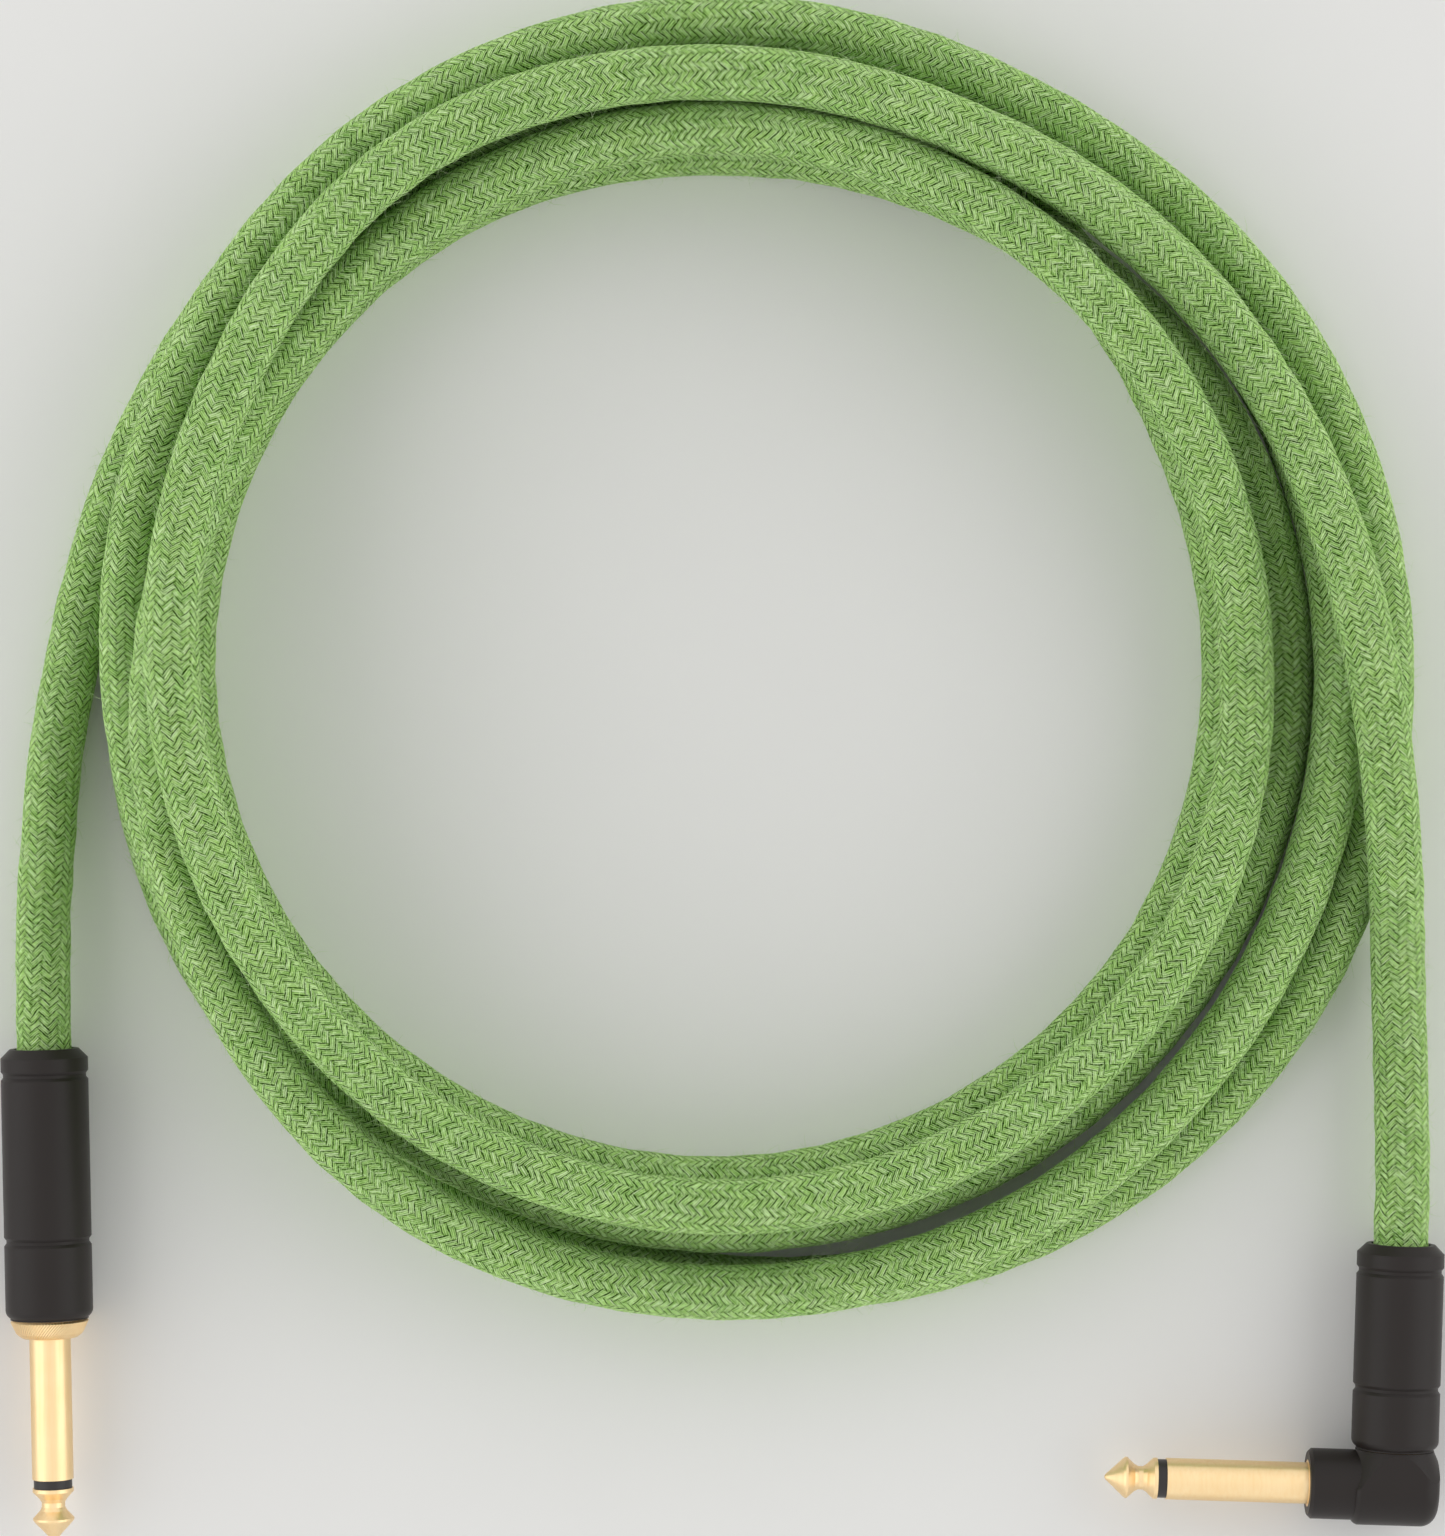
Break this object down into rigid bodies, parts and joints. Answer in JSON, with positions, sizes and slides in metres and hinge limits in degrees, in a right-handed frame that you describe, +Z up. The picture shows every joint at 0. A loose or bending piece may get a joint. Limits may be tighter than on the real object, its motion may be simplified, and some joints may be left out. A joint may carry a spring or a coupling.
{
  "type": "instrument cable",
  "caption": "Coiled instrument cable with a woven green jacket, a straight plug at one end and a right-angle plug at the other, in matte black housings.",
  "frame": {"origin": "on the surface that the cable lies on, midway between the outermost faces of the two plugs", "axes": "+Z up from the surface; +X from the straight plug across to the right-angle plug; +Y from the plugs towards the coil"},
  "size_m": [0.2226, 0.237, 0.0318],
  "materials": {
    "jacket": "woven, matte",
    "housing": "matte black coating",
    "contact_gold": "gold plated, polished",
    "lug_brass": "plain, satin",
    "copper_wire": null,
    "black_insulator": "smooth",
    "white_insulator": "smooth",
    "bush_rubber": "matte"
  },
  "bodies": {
    "cable_and_plugs": {"cable_coil": "jacket", "cable_lead_straight": "jacket", "cable_lead_angle": "jacket", "straight_sleeve": "contact_gold", "straight_tip_ring": "black_insulator", "straight_tip": "contact_gold", "straight_centre_rod": "lug_brass", "straight_core_insulator": "white_insulator", "straight_back_washer": "black_insulator", "straight_tip_lug": "lug_brass", "straight_ground_lug": "lug_brass", "straight_insulator_tube": "white_insulator", "straight_strain_bush": "bush_rubber", "straight_inner_jacket": "black_insulator", "straight_shield_pigtail": "copper_wire", "straight_core_insulation": "white_insulator", "straight_core_wire": "copper_wire", "angle_elbow": "housing", "angle_access_cap": "housing", "angle_threaded_neck": "contact_gold", "angle_sleeve": "contact_gold", "angle_tip_ring": "black_insulator", "angle_tip": "contact_gold", "angle_centre_rod": "lug_brass", "angle_core_insulator": "white_insulator", "angle_back_washer": "black_insulator", "angle_tip_lug": "lug_brass", "angle_ground_lug": "lug_brass", "angle_insulator_tube": "white_insulator", "angle_strain_bush": "bush_rubber", "angle_inner_jacket": "black_insulator", "angle_shield_pigtail": "copper_wire", "angle_core_insulation": "white_insulator", "angle_core_wire": "copper_wire"},
    "straight_housing": {"straight_shell": "housing"},
    "angle_housing": {"angle_shell": "housing"}
  },
  "joints": [
    {"name": "straight_housing_slide", "type": "slide", "parent": "cable_and_plugs", "child": "straight_housing", "axis": [-0.0209, 0.9998, 0], "range_m": [0, 0.012]},
    {"name": "angle_housing_slide", "type": "slide", "parent": "cable_and_plugs", "child": "angle_housing", "axis": [0.0314, 0.9995, 0], "range_m": [0, 0.012]}
  ]
}
